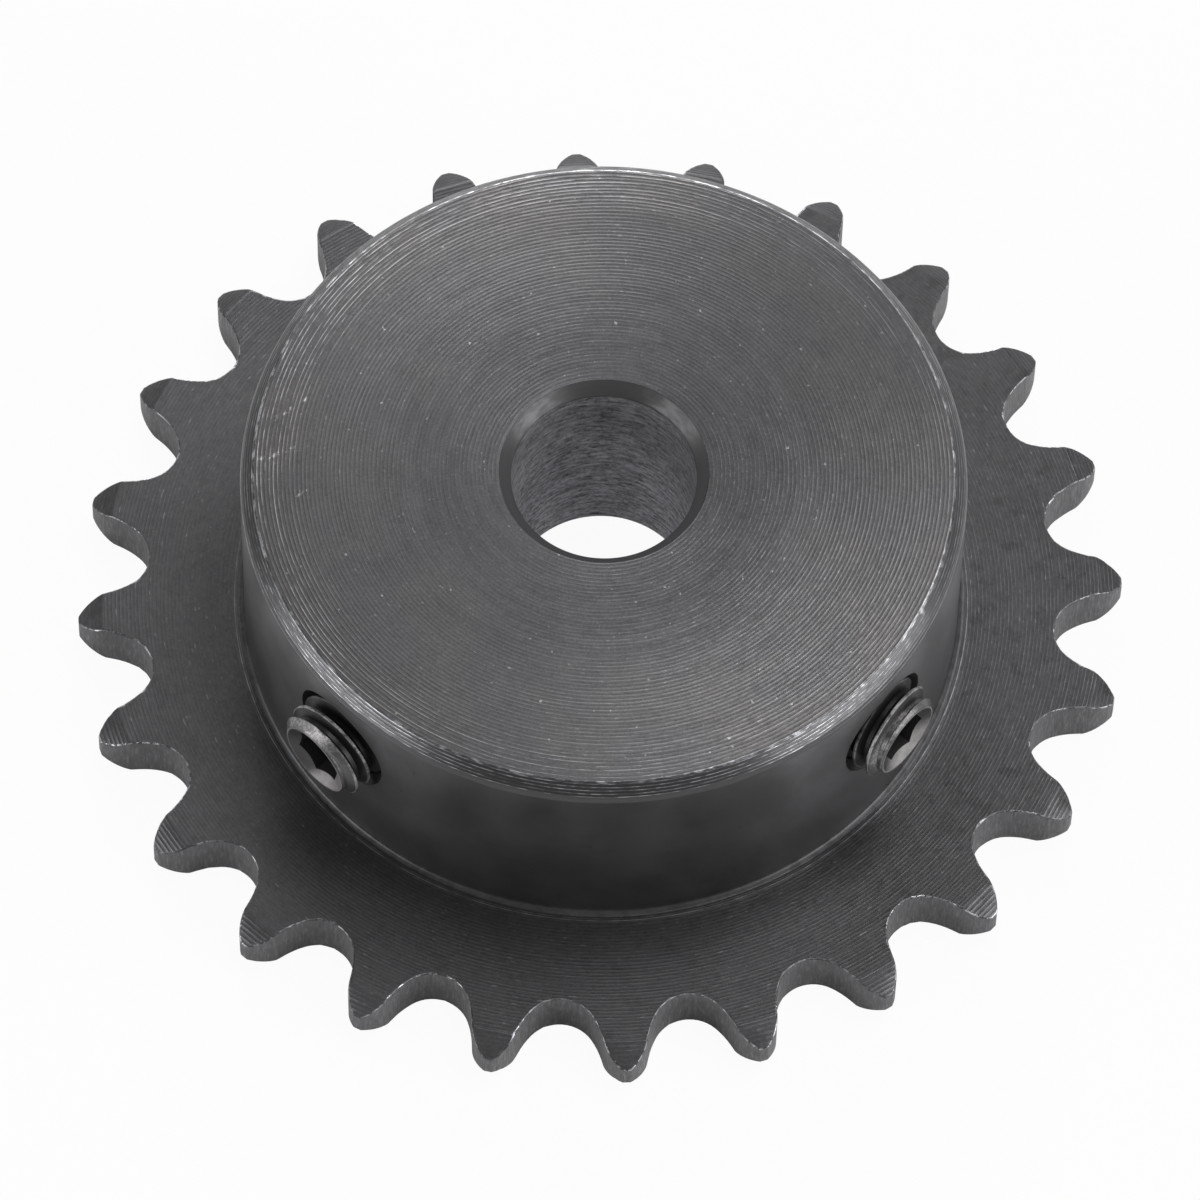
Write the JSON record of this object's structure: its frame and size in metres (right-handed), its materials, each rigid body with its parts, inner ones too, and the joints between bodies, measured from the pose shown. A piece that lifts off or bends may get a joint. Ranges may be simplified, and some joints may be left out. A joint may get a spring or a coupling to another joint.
{
  "type": "chain sprocket",
  "caption": "Toothed wheel for quarter-inch pitch roller chain, with a hub on one side, a plain round bore and radial set screws in the hub.",
  "frame": {"origin": "centre of the bore on the flat back face, which is the toothed plate's side away from the hub", "axes": "+Z along the bore axis towards the hub's end; the first set screw points along -Y and the second 97 degrees further counter-clockwise seen from +Z, near +X"},
  "size_m": [0.0516, 0.0516, 0.0152],
  "materials": {
    "black_oxide_steel": "turned steel with a thin dark oxide, worn bright on edges",
    "screw_steel": "dark hardened steel, slightly warm"
  },
  "bodies": {
    "root": {"sprocket_body": "black_oxide_steel", "set_screws": "screw_steel"}
  },
  "joints": []
}
